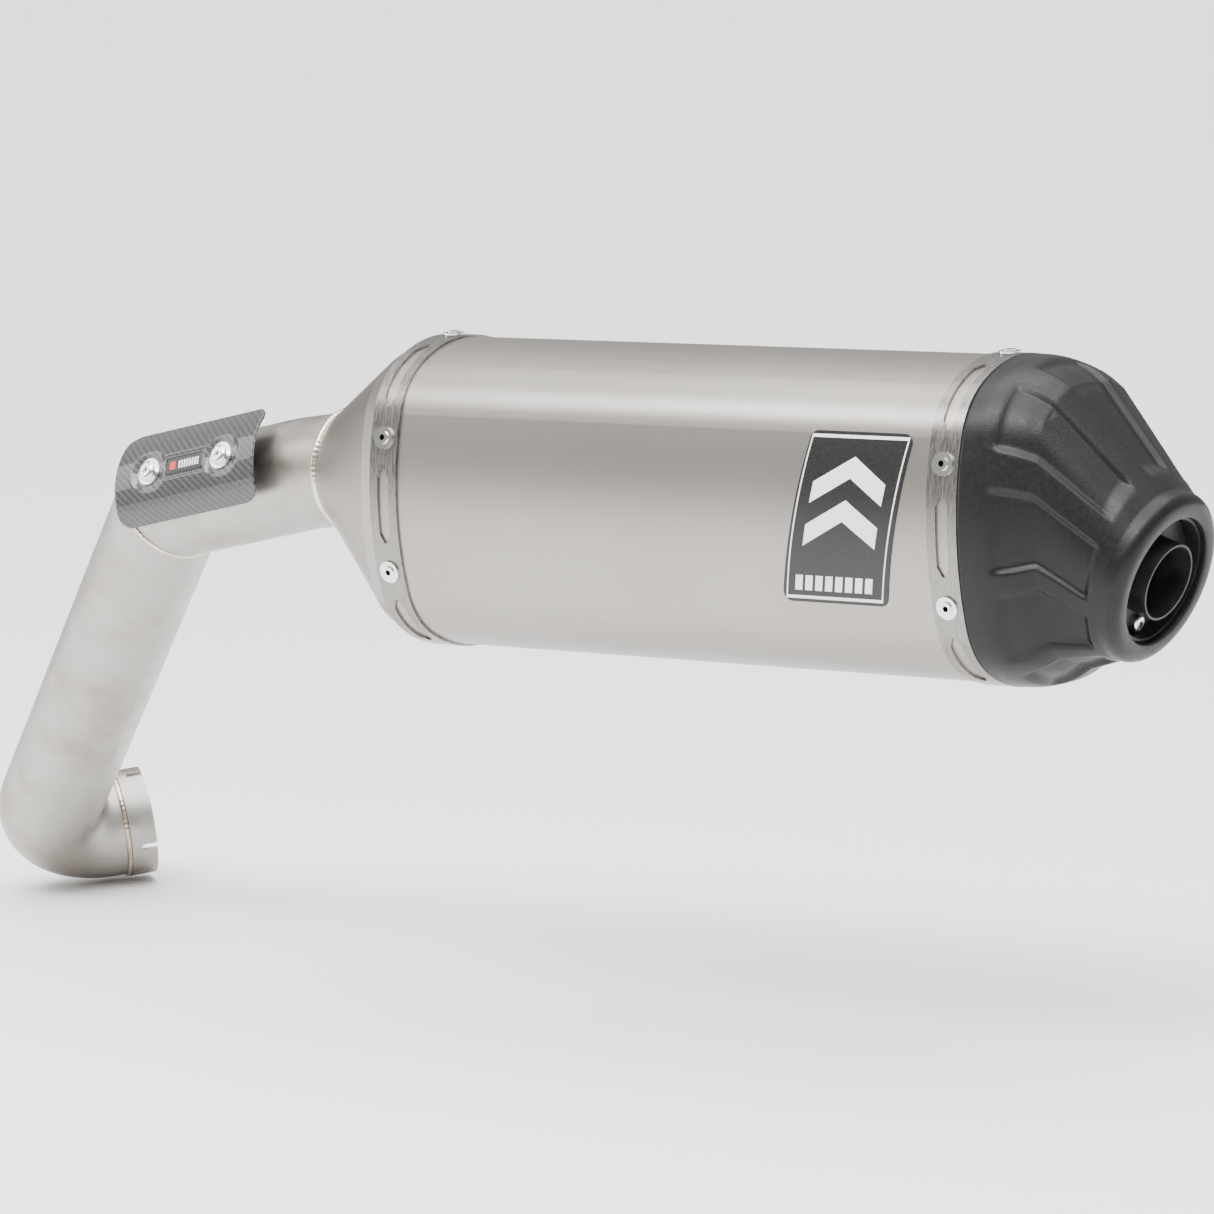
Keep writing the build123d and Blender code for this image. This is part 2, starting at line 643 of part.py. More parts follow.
with BuildPart() as hanger_sleeve:
    with BuildSketch(HANGER_PLANE.offset(3.0)):
        Circle(SLEEVE_TUBE_RADIUS)
        Circle(BOLT_BORE, mode=Mode.SUBTRACT)
    extrude(amount=HANGER_FACE - 3.0 + 2.0)
hanger_sleeve.part.label = "hanger_sleeve"

# ---- one file per piece ---------------------------------------------------------------------
PIECES = [
    inlet_collar.part, collar_weld.part, lower_pipe.part, elbow_weld.part, upper_pipe.part,
    ring_weld.part, front_cone.part, front_strap, front_rivets, sleeve.part, sleeve_badge.part,
    front_bulkhead, perforated_core.part, core_wrap.part, packing.part, rear_bulkhead,
    rear_strap, rear_rivets, end_cap.part, outlet_tube.part, noise_insert.part,
    bolt_lug.part, insert_bolt.part, heat_shield.part, shield_standoffs.part,
    shield_washers.part, shield_bolts.part, hanger_bracket.part, hanger_bush.part,
    hanger_sleeve.part,
]
for piece in PIECES:
    export_step(piece, f"parts/{piece.label}.step")
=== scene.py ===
"""Looks of the motorcycle muffler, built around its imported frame."""
import json
from math import atan2, cos, hypot, pi, radians, sin, sqrt

import bmesh
import bpy
import numpy as np
from mathutils import Matrix, Vector


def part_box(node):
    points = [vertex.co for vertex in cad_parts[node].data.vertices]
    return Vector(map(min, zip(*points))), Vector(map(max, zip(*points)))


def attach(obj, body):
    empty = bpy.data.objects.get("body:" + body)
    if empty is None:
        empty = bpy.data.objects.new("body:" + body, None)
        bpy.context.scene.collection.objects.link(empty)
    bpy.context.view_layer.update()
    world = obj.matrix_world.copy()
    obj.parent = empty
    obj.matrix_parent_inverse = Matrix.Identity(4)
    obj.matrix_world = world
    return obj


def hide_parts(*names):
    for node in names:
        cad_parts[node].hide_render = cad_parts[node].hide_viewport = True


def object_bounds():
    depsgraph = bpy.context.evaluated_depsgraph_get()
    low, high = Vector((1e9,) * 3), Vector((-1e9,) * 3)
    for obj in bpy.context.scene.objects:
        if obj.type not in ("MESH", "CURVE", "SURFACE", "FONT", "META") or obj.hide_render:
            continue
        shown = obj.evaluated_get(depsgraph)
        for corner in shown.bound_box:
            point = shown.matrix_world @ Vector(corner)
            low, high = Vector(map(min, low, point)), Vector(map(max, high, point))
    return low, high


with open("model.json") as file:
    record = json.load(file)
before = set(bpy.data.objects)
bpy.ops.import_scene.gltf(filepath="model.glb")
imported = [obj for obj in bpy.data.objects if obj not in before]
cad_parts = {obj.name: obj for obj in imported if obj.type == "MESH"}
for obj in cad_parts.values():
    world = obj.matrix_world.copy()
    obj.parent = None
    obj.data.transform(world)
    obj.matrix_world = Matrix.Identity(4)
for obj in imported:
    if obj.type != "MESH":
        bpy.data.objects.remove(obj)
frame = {"nodes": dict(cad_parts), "record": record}
CAD_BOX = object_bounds()
NODES = frame["nodes"]
MM = 0.001

# ---- places, worked out from the frame -------------------------------------------------------
SLEEVE_LOW, SLEEVE_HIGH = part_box("sleeve")
SLEEVE_MIDDLE = (SLEEVE_LOW + SLEEVE_HIGH) / 2
DATUM = Vector((SLEEVE_HIGH.x + 0.5 * MM, SLEEVE_MIDDLE.y, SLEEVE_MIDDLE.z))
HALF_WIDTH = (SLEEVE_HIGH.y - SLEEVE_LOW.y) / 2 / MM
HALF_HEIGHT = (SLEEVE_HIGH.z - SLEEVE_LOW.z) / 2 / MM
SIDE_RADIUS, TOP_RADIUS, CORNER_RADIUS = 145.0, 64.0, 35.5

TILT = radians(18.7)
OUTLET_DIR = Vector((cos(TILT), 0, -sin(TILT)))
OUTLET_UP = Vector((sin(TILT), 0, cos(TILT)))
OUTLET_DISTANCE = 71.2  # from the datum to the rim
RIM = DATUM + OUTLET_DIR * OUTLET_DISTANCE * MM


def station(x, y, z):
    """A point given in millimetres from the canister's datum, in the row frame."""
    return DATUM + Vector((x, y, z)) * MM


RING = station(-370.0, 0, 7.3)
KNEE = station(-397.0, 0, 3.7)
ELBOW = station(-482.5, 0, -14.4)
COLLAR_DIR = Vector((0.617, 0.779, 0.106)).normalized()
BEND_DISTANCE = 58.0  # from the collar's mouth back to the bend's corner
BEND = -COLLAR_DIR * BEND_DISTANCE * MM
UPPER_DIR = (ELBOW - KNEE).normalized()
LOWER_DIR = (BEND - ELBOW).normalized()
PIPE_RADIUS = 26.0


# ---- mesh helpers ------------------------------------------------------------------------------
def add_piece(name, points, faces, body):
    """A smooth mesh piece from points in metres, riding on a body."""
    mesh = bpy.data.meshes.new(name)
    mesh.from_pydata([tuple(p) for p in points], [], faces)
    mesh.update()
    mesh.shade_smooth()
    piece = bpy.data.objects.new(name, mesh)
    bpy.context.scene.collection.objects.link(piece)
    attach(piece, body)
    return piece


def grid_faces(rows, columns, close_rows=False, close_columns=False):
    """Quads over a grid of rows by columns, wrapped round where asked."""
    faces = []
    for i in range(rows if close_rows else rows - 1):
        for j in range(columns if close_columns else columns - 1):
            k, m = (i + 1) % rows, (j + 1) % columns
            faces.append((i * columns + j, i * columns + m, k * columns + m, k * columns + j))
    return faces


def recalculate(piece):
    """Turns a closed piece's normals outward."""
    work = bmesh.new()
    work.from_mesh(piece.data)
    bmesh.ops.recalc_face_normals(work, faces=work.faces)
    work.to_mesh(piece.data)
    work.free()


def oval_reach(angle, grow):
    """Distance from the canister's axis to its section, grown, at an angle from the top, in mm."""
    side = (HALF_WIDTH - SIDE_RADIUS, 0.0)
    top = (0.0, HALF_HEIGHT - TOP_RADIUS)
    side_reach, top_reach = SIDE_RADIUS - CORNER_RADIUS, TOP_RADIUS - CORNER_RADIUS
    gap = hypot(top[0] - side[0], top[1] - side[1])
    along = (side_reach**2 - top_reach**2 + gap**2) / (2 * gap)
    aside = sqrt(side_reach**2 - along**2)
    ux, uz = (top[0] - side[0]) / gap, (top[1] - side[1]) / gap
    corner = (side[0] + ux * along - uz * aside, side[1] + uz * along + ux * aside)
    d = (abs(sin(angle)), abs(cos(angle)))
    reach = 0.0
    for centre, radius in ((side, SIDE_RADIUS), (top, TOP_RADIUS), (corner, CORNER_RADIUS)):
        to_corner = (corner[0] - centre[0], corner[1] - centre[1])
        b = d[0] * centre[0] + d[1] * centre[1]
        hit = b + sqrt(max(b * b - (centre[0]**2 + centre[1]**2 - (radius + grow)**2), 0))
        out = (hit * d[0] - centre[0], hit * d[1] - centre[1])
        turn = atan2(out[0], out[1])
        side_turn = atan2(corner[0] - side[0], corner[1] - side[1])
        top_turn = atan2(corner[0] - top[0], corner[1] - top[1])
        if centre is side and turn >= side_turn:
            reach = hit
        if centre is top and turn <= top_turn:
            reach = hit
        if centre is corner and top_turn < turn < side_turn:
            reach = hit
    return reach


# ---- material helpers ----------------------------------------------------------------------------
class Finish:
    """A node material with a Principled shader and short ways to add detail to it."""

    def __init__(self, name, colour, metallic, roughness):
        self.material = bpy.data.materials.new(name)
        self.material.use_nodes = True
        self.tree = self.material.node_tree
        self.shader = self.tree.nodes["Principled BSDF"]
        self.shader.inputs["Base Color"].default_value = (*colour, 1)
        self.shader.inputs["Metallic"].default_value = metallic
        self.shader.inputs["Roughness"].default_value = roughness
        self.place = self.tree.nodes.new("ShaderNodeTexCoord")

    def node(self, kind, **settings):
        made = self.tree.nodes.new(kind)
        for key, value in settings.items():
            setattr(made, key, value)
        return made

    def link(self, start, end):
        self.tree.links.new(start, end)

    def noise(self, scale, detail=3.0, stretch=(1, 1, 1), roughness=0.55):
        """Noise over the object's own metres, stretched by axis."""
        mapping = self.node("ShaderNodeMapping")
        mapping.inputs["Scale"].default_value = stretch
        self.link(self.place.outputs["Object"], mapping.inputs["Vector"])
        made = self.node("ShaderNodeTexNoise")
        made.inputs["Scale"].default_value = scale
        made.inputs["Detail"].default_value = detail
        made.inputs["Roughness"].default_value = roughness
        self.link(mapping.outputs["Vector"], made.inputs["Vector"])
        return made.outputs["Fac"]

    def ramp(self, source, stops):
        """Colour stops, each (position, colour), over a value."""
        made = self.node("ShaderNodeValToRGB")
        for extra in stops[2:]:
            made.color_ramp.elements.new(extra[0])
        for element, (position, colour) in zip(made.color_ramp.elements, sorted(stops)):
            element.position = position
            element.color = (*colour, 1)
        self.link(source, made.inputs["Fac"])
        return made.outputs["Color"]

    def remap(self, source, low, high, source_low=0.3, source_high=0.7):
        """A value stretched from one range to another."""
        made = self.node("ShaderNodeMapRange")
        made.inputs["From Min"].default_value = source_low
        made.inputs["From Max"].default_value = source_high
        made.inputs["To Min"].default_value = low
        made.inputs["To Max"].default_value = high
        self.link(source, made.inputs["Value"])
        return made.outputs["Result"]

    def math(self, operation, first, second=None, clamp=False):
        """A Math node over sockets or plain numbers."""
        made = self.node("ShaderNodeMath", operation=operation, use_clamp=clamp)
        for slot, value in zip(made.inputs, (first, second)):
            if value is None:
                continue
            if isinstance(value, (int, float)):
                slot.default_value = value
            else:
                self.link(value, slot)
        return made.outputs["Value"]

    def mix(self, factor, first, second):
        """A colour mix; first and second are colours or sockets."""
        made = self.node("ShaderNodeMix", data_type="RGBA")
        self.link(factor, made.inputs["Factor"])
        for slot, value in (("A", first), ("B", second)):
            socket = [s for s in made.inputs if s.name == slot and s.type == "RGBA"][0]
            if isinstance(value, tuple):
                socket.default_value = (*value, 1)
            else:
                self.link(value, socket)
        return [s for s in made.outputs if s.type == "RGBA"][0]

    def colour(self, source):
        self.link(source, self.shader.inputs["Base Color"])

    def rough(self, source):
        self.link(source, self.shader.inputs["Roughness"])

    def bump(self, source, distance, strength=1.0):
        """Relief of this height in metres; a second call adds to the first."""
        made = self.node("ShaderNodeBump")
        made.inputs["Distance"].default_value = distance
        made.inputs["Strength"].default_value = strength
        self.link(source, made.inputs["Height"])
        normal = self.shader.inputs["Normal"]
        if normal.is_linked:
            self.link(normal.links[0].from_socket, made.inputs["Normal"])
        self.link(made.outputs["Normal"], normal)


def titanium():
    """Satin bead-blasted sheet with a fine grain."""
    f = Finish("titanium_satin", (0.55, 0.52, 0.49), 1.0, 0.34)
    f.colour(f.ramp(f.noise(9.0, 4), [(0.3, (0.345, 0.32, 0.295)), (0.7, (0.385, 0.36, 0.335))]))
    f.rough(f.remap(f.noise(2600.0, 2), 0.29, 0.41))
    f.bump(f.noise(3200.0, 2), 0.00002, 0.5)
    return f.material


def brushed_strap():
    """Strap metal, brushed round the canister."""
    f = Finish("brushed_strap", (0.44, 0.42, 0.40), 1.0, 0.30)
    grain = f.noise(900.0, 3, stretch=(4, 0.25, 0.25))
    f.colour(f.ramp(grain, [(0.35, (0.21, 0.20, 0.185)), (0.65, (0.31, 0.295, 0.275))]))
    f.rough(f.remap(grain, 0.22, 0.38))
    f.bump(grain, 0.00002, 0.5)
    return f.material


def stainless():
    """Dull pipe steel with faint stains, heat tint and fine grain."""
    f = Finish("stainless_pipe", (0.60, 0.57, 0.53), 1.0, 0.38)
    clouds = f.noise(22.0, 6, roughness=0.65)
    straw, grey, pale = (0.33, 0.29, 0.25), (0.42, 0.40, 0.37), (0.46, 0.45, 0.43)
    tint = f.ramp(clouds, [(0.30, straw), (0.52, grey), (0.75, pale)])
    spots = f.remap(f.noise(120.0, 4, roughness=0.7), 0, 1, 0.70, 0.76)
    f.colour(f.mix(spots, tint, (0.22, 0.17, 0.13)))
    f.rough(f.remap(f.noise(60.0, 5), 0.32, 0.50))
    f.bump(f.noise(1500.0, 3), 0.00003, 0.5)
    f.bump(f.noise(30.0, 3), 0.0003, 0.25)
    return f.material


def weld():
    """Straw-tinted weld metal."""
    f = Finish("weld_bead", (0.62, 0.54, 0.42), 1.0, 0.26)
    f.colour(f.ramp(f.noise(60.0, 4), [(0.35, (0.52, 0.40, 0.27)), (0.65, (0.72, 0.68, 0.60))]))
    f.bump(f.noise(900.0, 3), 0.00005, 0.5)
    return f.material


def bright_fastener():
    """Polished fastener with faint turning marks."""
    f = Finish("bright_fastener", (0.80, 0.80, 0.79), 1.0, 0.13)
    f.rough(f.remap(f.noise(700.0, 3), 0.08, 0.20))
    f.bump(f.noise(1400.0, 2), 0.00001, 0.4)
    return f.material


def satin_black():
    """Heat-proof black coating with a leathery orange-peel grain."""
    f = Finish("satin_black", (0.012, 0.012, 0.013), 0.0, 0.36)
    f.shader.inputs["Specular IOR Level"].default_value = 0.28
    f.colour(f.ramp(f.noise(14.0, 4), [(0.3, (0.005, 0.005, 0.0055)), (0.7, (0.009, 0.009, 0.0095))]))
    f.rough(f.remap(f.noise(500.0, 3), 0.30, 0.44))
    f.bump(f.noise(1100.0, 3), 0.00012, 0.55)
    return f.material


def sooty_steel():
    """Dark inner tube metal."""
    f = Finish("sooty_steel", (0.03, 0.03, 0.03), 0.6, 0.45)
    f.colour(f.ramp(f.noise(80.0, 4), [(0.3, (0.012, 0.012, 0.012)), (0.7, (0.05, 0.048, 0.046))]))
    f.bump(f.noise(1200.0, 3), 0.00004, 0.5)
    return f.material


def rubber():
    """Dull black bush rubber."""
    f = Finish("bush_rubber", (0.02, 0.02, 0.02), 0.0, 0.7)
    f.rough(f.remap(f.noise(400.0, 3), 0.6, 0.8))
    f.bump(f.noise(1500.0, 3), 0.00005, 0.5)
    return f.material


def wool(name, light, dark):
    """Matted fibre."""
    f = Finish(name, light, 0.0, 0.9)
    strands = f.noise(500.0, 6, stretch=(1, 3, 0.6))
    f.colour(f.ramp(strands, [(0.35, dark), (0.65, light)]))
    f.bump(strands, 0.0006, 0.8)
    return f.material


THREAD = 0.95 * MM  # width of one carbon tow


def carbon():
    """Two-by-two twill under clear lacquer; the weave follows the piece's own UV metres."""
    f = Finish("carbon_twill", (0.02, 0.02, 0.02), 0.0, 0.32)
    split = f.node("ShaderNodeSeparateXYZ")
    f.link(f.place.outputs["UV"], split.inputs["Vector"])
    u = f.math("DIVIDE", split.outputs["X"], THREAD)
    v = f.math("DIVIDE", split.outputs["Y"], THREAD)
    step = f.math("ADD", f.math("FLOOR", u), f.math("FLOOR", v))
    over = f.math("LESS_THAN", f.math("FLOORED_MODULO", step, 4.0), 2.0)
    crown_u = f.math("ABSOLUTE", f.math("SINE", f.math("MULTIPLY", u, pi)))
    crown_v = f.math("ABSOLUTE", f.math("SINE", f.math("MULTIPLY", v, pi)))
    warp = f.math("MULTIPLY", over, crown_v)
    weft = f.math("MULTIPLY", f.math("SUBTRACT", 1.0, over), crown_u)
    f.colour(f.mix(over, (0.012, 0.012, 0.013), (0.045, 0.045, 0.048)))
    f.rough(f.remap(over, 0.42, 0.25, 0.0, 1.0))
    f.bump(f.math("ADD", warp, weft), 0.00012, 0.6)
    f.shader.inputs["Coat Weight"].default_value = 1.0
    f.shader.inputs["Coat Roughness"].default_value = 0.04
    return f.material


def inside_band(f, value, low, high):
    """1 where low < value < high."""
    above = f.math("GREATER_THAN", value, low)
    below = f.math("LESS_THAN", value, high)
    return f.math("MULTIPLY", above, below)


def sleeve_badge():
    """Black slanted badge with a white outline, two plain chevrons and a row of bars."""
    f = Finish("badge_print", (0.012, 0.012, 0.012), 0.0, 0.3)
    low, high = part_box("sleeve_badge")
    middle = (low + high) / 2
    half_height = (high.z - low.z) / 2
    lean = 0.213
    half_width = (high.x - low.x) / 2 - lean * half_height
    split = f.node("ShaderNodeSeparateXYZ")
    f.link(f.place.outputs["Object"], split.inputs["Vector"])
    z = f.math("SUBTRACT", split.outputs["Z"], middle.z)
    x = f.math("SUBTRACT", f.math("SUBTRACT", split.outputs["X"], middle.x), f.math("MULTIPLY", z, lean))
    u = f.math("DIVIDE", x, half_width)
    v = f.math("DIVIDE", z, half_height)
    au, av = f.math("ABSOLUTE", u), f.math("ABSOLUTE", v)
    edge = f.math("MAXIMUM", au, f.math("ADD", f.math("MULTIPLY", av, 0.72), 0.28))
    outline = inside_band(f, edge, 0.945, 0.972)
    climb = f.math("SUBTRACT", v, f.math("MULTIPLY", f.math("SUBTRACT", 1.0, au), 0.42))
    chevron = f.math("MAXIMUM", inside_band(f, climb, 0.05, 0.30), inside_band(f, climb, -0.45, -0.20))
    chevron = f.math("MULTIPLY", chevron, f.math("LESS_THAN", au, 0.72))
    comb = f.math("LESS_THAN", f.math("FLOORED_MODULO", f.math("MULTIPLY", u, 5.0), 1.0), 0.72)
    bars = f.math("MULTIPLY", inside_band(f, v, -0.86, -0.68), comb)
    bars = f.math("MULTIPLY", bars, f.math("LESS_THAN", au, 0.80))
    white = f.math("MAXIMUM", outline, f.math("MAXIMUM", chevron, bars))
    f.colour(f.mix(white, (0.012, 0.012, 0.012), (0.82, 0.82, 0.82)))
    f.rough(f.remap(f.noise(900.0, 2), 0.25, 0.38))
    return f.material


def shield_badge():
    """Small dark plate with a red block and pale bars."""
    f = Finish("shield_badge", (0.02, 0.02, 0.02), 0.0, 0.25)
    split = f.node("ShaderNodeSeparateXYZ")
    f.link(f.place.outputs["UV"], split.inputs["Vector"])
    u, v = split.outputs["X"], split.outputs["Y"]
    tall = inside_band(f, v, 0.28, 0.72)
    red = f.math("MULTIPLY", inside_band(f, u, 0.12, 0.27), tall)
    comb = f.math("LESS_THAN", f.math("FLOORED_MODULO", f.math("MULTIPLY", u, 14.0), 1.0), 0.62)
    pale = f.math("MULTIPLY", f.math("MULTIPLY", inside_band(f, u, 0.34, 0.90), tall), comb)
    base = f.mix(red, (0.015, 0.015, 0.015), (0.62, 0.02, 0.02))
    f.colour(f.mix(pale, base, (0.75, 0.75, 0.75)))
    f.rough(f.remap(f.noise(900.0, 2), 0.2, 0.35))
    return f.material


MATERIALS = {
    "titanium": titanium(),
    "brushed_strap": brushed_strap(),
    "stainless_steel": stainless(),
    "weld": weld(),
    "bright_fastener": bright_fastener(),
    "satin_black": satin_black(),
    "carbon_fibre": carbon(),
    "badge_print": sleeve_badge(),
    "steel_wool": wool("steel_wool", (0.30, 0.30, 0.29), (0.10, 0.10, 0.10)),
    "glass_wool": wool("glass_wool", (0.80, 0.74, 0.50), (0.55, 0.50, 0.32)),
    "bush_rubber": rubber(),
}
SOOTY = sooty_steel()


def paint(piece, material):
    """Gives a piece this material only."""
    piece.data.materials.clear()
    piece.data.materials.append(material)


for row in frame["record"]["subparts"]:
    paint(NODES[row["node"]], MATERIALS[row["material_slot"]])
for name in ("outlet_tube", "noise_insert", "bolt_lug", "rear_bulkhead", "perforated_core"):
    paint(NODES[name], SOOTY)


# ---- end cap with its pressed panels -----------------------------------------------------------
# distance past the datum, and growth of the sleeve's section there
CAP_STATIONS = ((0.0, 0.9), (11.0, 0.2), (23.0, -3.2), (32.0, -8.5))
CAP_WALL = 3.2
LIP_RADIUS, LIP_DEPTH, LIP_ROUND, OPENING = 38.0, 8.0, 6.0, 28.2
LIP_RETURN = 12.0  # how far the opening's rolled edge runs back inside
CAP_COLUMNS = 288
SIDE_COLUMN = CAP_COLUMNS // 4
FRONT_PARTS, SLOPE_PARTS, LIP_PARTS = 7, 45, 8
# middle angle from the top, half width at the front and at the rim, in degrees
PANELS = ((0, 14, 11), (40, 14, 13), (88, 19, 17), (130, 14, 13), (164, 11, 10))
PANEL_DEPTH = 2.3
PANEL_START, PANEL_STOP = (0.20, 0.27), (0.86, 0.93)  # shares of the way from sleeve to lip


def cap_row(x, grow):
    """Points of an oval row of the cap at station x."""
    row = []
    for j in range(CAP_COLUMNS):
        a = 2 * pi * j / CAP_COLUMNS
        r = oval_reach(a, grow)
        row.append(station(x, -r * sin(a), r * cos(a)))
    return row


def rim_row(radius, distance):
    """Points of a round row about the outlet axis, this far out from the rim."""
    centre = RIM + OUTLET_DIR * distance * MM
    row = []
    for j in range(CAP_COLUMNS):
        a = 2 * pi * j / CAP_COLUMNS
        row.append(centre + (OUTLET_UP * cos(a) - Vector((0, 1, 0)) * sin(a)) * radius * MM)
    return row


def smooth_rows(rows, parts):
    """Rows joined by Catmull-Rom curves, parts rows to each span."""
    grid = np.array([[tuple(p) for p in row] for row in rows])
    padded = np.concatenate([2 * grid[:1] - grid[1:2], grid, 2 * grid[-1:] - grid[-2:-1]])
    made = []
    for k in range(1, len(padded) - 2):
        a, b, c, d = padded[k - 1 : k + 3]
        for t in np.linspace(0, 1, parts, endpoint=False):
            made.append(0.5 * (2 * b + (c - a) * t + (2 * a - 5 * b + 4 * c - d) * t**2
                               + (3 * b - a - 3 * c + d) * t**3))
    made.append(padded[-2])
    return np.array(made)


def soft_step(value, low, high):
    """0 below low, 1 above high, and a smooth climb between."""
    t = np.clip((value - low) / (high - low), 0, 1)
    return t * t * (3 - 2 * t)


def build_end_cap():
    """The cap's closed shell: pressed outer face, rolled lip and inner face."""
    shell = [cap_row(x, g) for x, g in CAP_STATIONS]
    shell.append(rim_row(LIP_RADIUS, -LIP_DEPTH - 0.01))
    front = smooth_rows(shell[:-1], FRONT_PARTS)
    slope = np.array([[tuple(p) for p in row] for row in shell[-2:]])
    share = np.linspace(0, 1, SLOPE_PARTS + 1)[1:, None, None]
    outer = np.concatenate([front, slope[0] + (slope[1] - slope[0]) * share])
    steps = np.linalg.norm(np.diff(outer[:, SIDE_COLUMN], axis=0), axis=1)
    along = np.cumsum(np.r_[0, steps])
    along /= along[-1]
    round_step = np.roll(outer, -1, axis=1) - np.roll(outer, 1, axis=1)
    normal = np.cross(np.gradient(outer, axis=0), round_step)
    normal /= np.linalg.norm(normal, axis=2, keepdims=True)
    centre = outer.mean(axis=1, keepdims=True)
    normal *= np.sign((normal * (outer - centre)).sum(axis=2, keepdims=True))
    angle = np.degrees(2 * pi * np.arange(CAP_COLUMNS) / CAP_COLUMNS)
    angle = np.where(angle > 180, 360 - angle, angle)
    depth = np.zeros(outer.shape[:2])
    for middle, wide_front, wide_rim in PANELS:
        half = wide_front + (wide_rim - wide_front) * along[:, None]
        off = half - np.abs(angle[None, :] - middle)
        across = soft_step(off, -0.6, 1.8)
        lengthwise = soft_step(along, *PANEL_START) * (1 - soft_step(along, *PANEL_STOP))
        depth = np.maximum(depth, across * lengthwise[:, None])
    outer = outer - normal * depth[..., None] * PANEL_DEPTH * MM
    lip = []
    for k in range(1, LIP_PARTS + 1):
        a = pi / 2 * k / LIP_PARTS
        lip.append(rim_row(LIP_RADIUS - LIP_ROUND * (1 - cos(a)), -LIP_ROUND * (1 - sin(a))))
    lip.append(rim_row(OPENING + 0.9, 0))
    lip.append(rim_row(OPENING + 0.3, -0.2))
    lip.append(rim_row(OPENING, -0.8))
    lip.append(rim_row(OPENING, -LIP_RETURN))
    lip.append(rim_row(LIP_RADIUS - 3, -LIP_RETURN))
    inner = [cap_row(x, g - CAP_WALL) for x, g in reversed(CAP_STATIONS)]
    rows = list(outer) + [[tuple(p) for p in row] for row in lip + inner]
    points = [p for row in rows for p in row]
    faces = grid_faces(len(rows), CAP_COLUMNS, close_rows=True, close_columns=True)
    cap = add_piece("end_cap_shell", points, faces, "muffler")
    recalculate(cap)
    paint(cap, MATERIALS["satin_black"])
    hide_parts("end_cap")
    return cap


build_end_cap()


# ---- heat shield with dished bolt seats ---------------------------------------------------------
SHIELD_TURN = radians(27.0)
SHIELD_LENGTH, SHIELD_HALF_ARC, SHIELD_OUTER, SHIELD_SHEET = 87.0, 25.4, 36.2, 1.3
SHIELD_CORNER = 8.0
SEAT_HEIGHT, SEAT_RADIUS = 34.5, 9.0
BOLT_PITCH = 45.5
BOLT_SPOTS = (-BOLT_PITCH / 2, BOLT_PITCH / 2)
BADGE_RECESS = 0.55
RECESS_HALF_LENGTH, RECESS_HALF_HEIGHT, RECESS_EDGE = 12.8, 5.6, 0.6
SHIELD_MIDDLE = KNEE + UPPER_DIR * 45.5 * MM
SIDEWAYS = Vector((0, -1, 0))
UPWARD = UPPER_DIR.cross(SIDEWAYS).normalized()
UPWARD = UPWARD if UPWARD.z > 0 else -UPWARD
SHIELD_OUT = SIDEWAYS * cos(SHIELD_TURN) + UPWARD * sin(SHIELD_TURN)
SHIELD_SIDE = UPWARD * cos(SHIELD_TURN) - SIDEWAYS * sin(SHIELD_TURN)
SHIELD_ALONG = -UPPER_DIR


def shield_point(u, arc):
    """A point on the shield, u along it and arc round it, in mm."""
    a = arc / SHIELD_OUTER
    out, side = SHIELD_OUTER * cos(a), SHIELD_OUTER * sin(a)
    for spot in BOLT_SPOTS:
        away = hypot(u - spot, side)
        dish = 1 - float(soft_step(away, SEAT_RADIUS - 1.5, SEAT_RADIUS + 3.0))
        out = out + (SEAT_HEIGHT - out) * dish
    inward = min(RECESS_HALF_LENGTH - abs(u), RECESS_HALF_HEIGHT - abs(side))
    out -= BADGE_RECESS * float(soft_step(inward, -RECESS_EDGE, RECESS_EDGE))
    return SHIELD_MIDDLE + (SHIELD_ALONG * u + SHIELD_OUT * out + SHIELD_SIDE * side) * MM


def build_shield():
    """The formed carbon shield, with UVs in metres for its weave."""
    rows, columns = 175, 105
    points, marks = [], []
    for i in range(rows):
        u = -SHIELD_LENGTH / 2 + SHIELD_LENGTH * i / (rows - 1)
        into = max(abs(u) - (SHIELD_LENGTH / 2 - SHIELD_CORNER), 0)
        half = SHIELD_HALF_ARC - SHIELD_CORNER + sqrt(max(SHIELD_CORNER**2 - into**2, 0))
        for j in range(columns):
            arc = half * (2 * j / (columns - 1) - 1)
            points.append(shield_point(u, arc))
            marks.append((u * MM, arc * MM))
    shield = add_piece("heat_shield_shell", points, grid_faces(rows, columns), "muffler")
    layer = shield.data.uv_layers.new(name="weave")
    for loop in shield.data.loops:
        layer.data[loop.index].uv = marks[loop.vertex_index]
    skin = shield.modifiers.new("thickness", "SOLIDIFY")
    skin.thickness = SHIELD_SHEET * MM
    skin.offset = -1
    face = shield.data.polygons[0]
    if face.normal.dot(SHIELD_OUT) < 0:
        skin.offset = 1
    paint(shield, MATERIALS["carbon_fibre"])
    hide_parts("heat_shield")
    return shield


def build_shield_badge():
    """The small plate in the shield's recess, with UVs from 0 to 1."""
    rows, columns, half_long, half_tall, lift = 25, 13, 11.6, 4.4, 0.12
    points, marks = [], []
    for i in range(rows):
        for j in range(columns):
            u, v = i / (rows - 1), j / (columns - 1)
            seat = shield_point(half_long * (2 * u - 1), half_tall * (2 * v - 1))
            points.append(seat + SHIELD_OUT * lift * MM)
            marks.append((u, v))
    badge = add_piece("heat_shield_badge", points, grid_faces(rows, columns), "muffler")
    layer = badge.data.uv_layers.new(name="print")
    for loop in badge.data.loops:
        layer.data[loop.index].uv = marks[loop.vertex_index]
    skin = badge.modifiers.new("thickness", "SOLIDIFY")
    skin.thickness = 0.25 * MM
    skin.offset = 0
    paint(badge, shield_badge())
    return badge


build_shield()
build_shield_badge()


